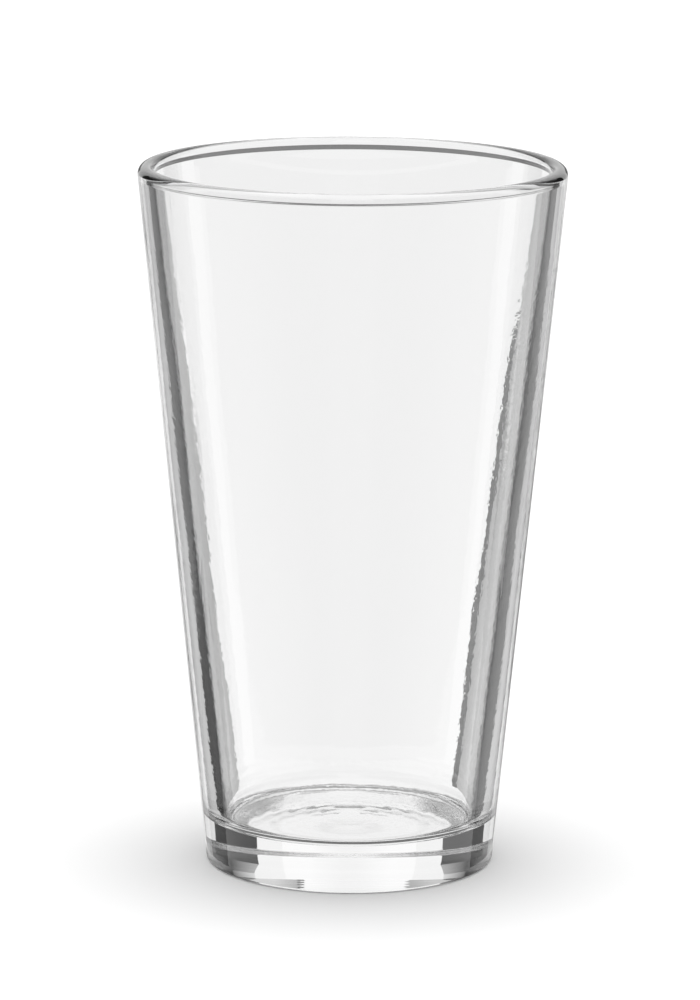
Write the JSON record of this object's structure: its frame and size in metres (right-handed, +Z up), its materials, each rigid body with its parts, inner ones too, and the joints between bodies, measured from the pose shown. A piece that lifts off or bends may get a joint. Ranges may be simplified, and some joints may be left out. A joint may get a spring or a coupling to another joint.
{
  "type": "mixing glass",
  "caption": "Tapered clear glass for mixing and shaking drinks, with a rounded lip, an open mouth and a thick flat foot.",
  "frame": {"origin": "centre of the bearing ring that the glass stands on, at table level", "axes": "+Z up along the axis of the glass, X and Y level and alike"},
  "size_m": [0.0888, 0.0888, 0.1475],
  "materials": {
    "clear_glass": "clear colourless pressed and tempered soda-lime glass, fire-polished, with a finely stippled bearing ring"
  },
  "bodies": {
    "root": {"glass_body": "clear_glass"}
  },
  "joints": []
}
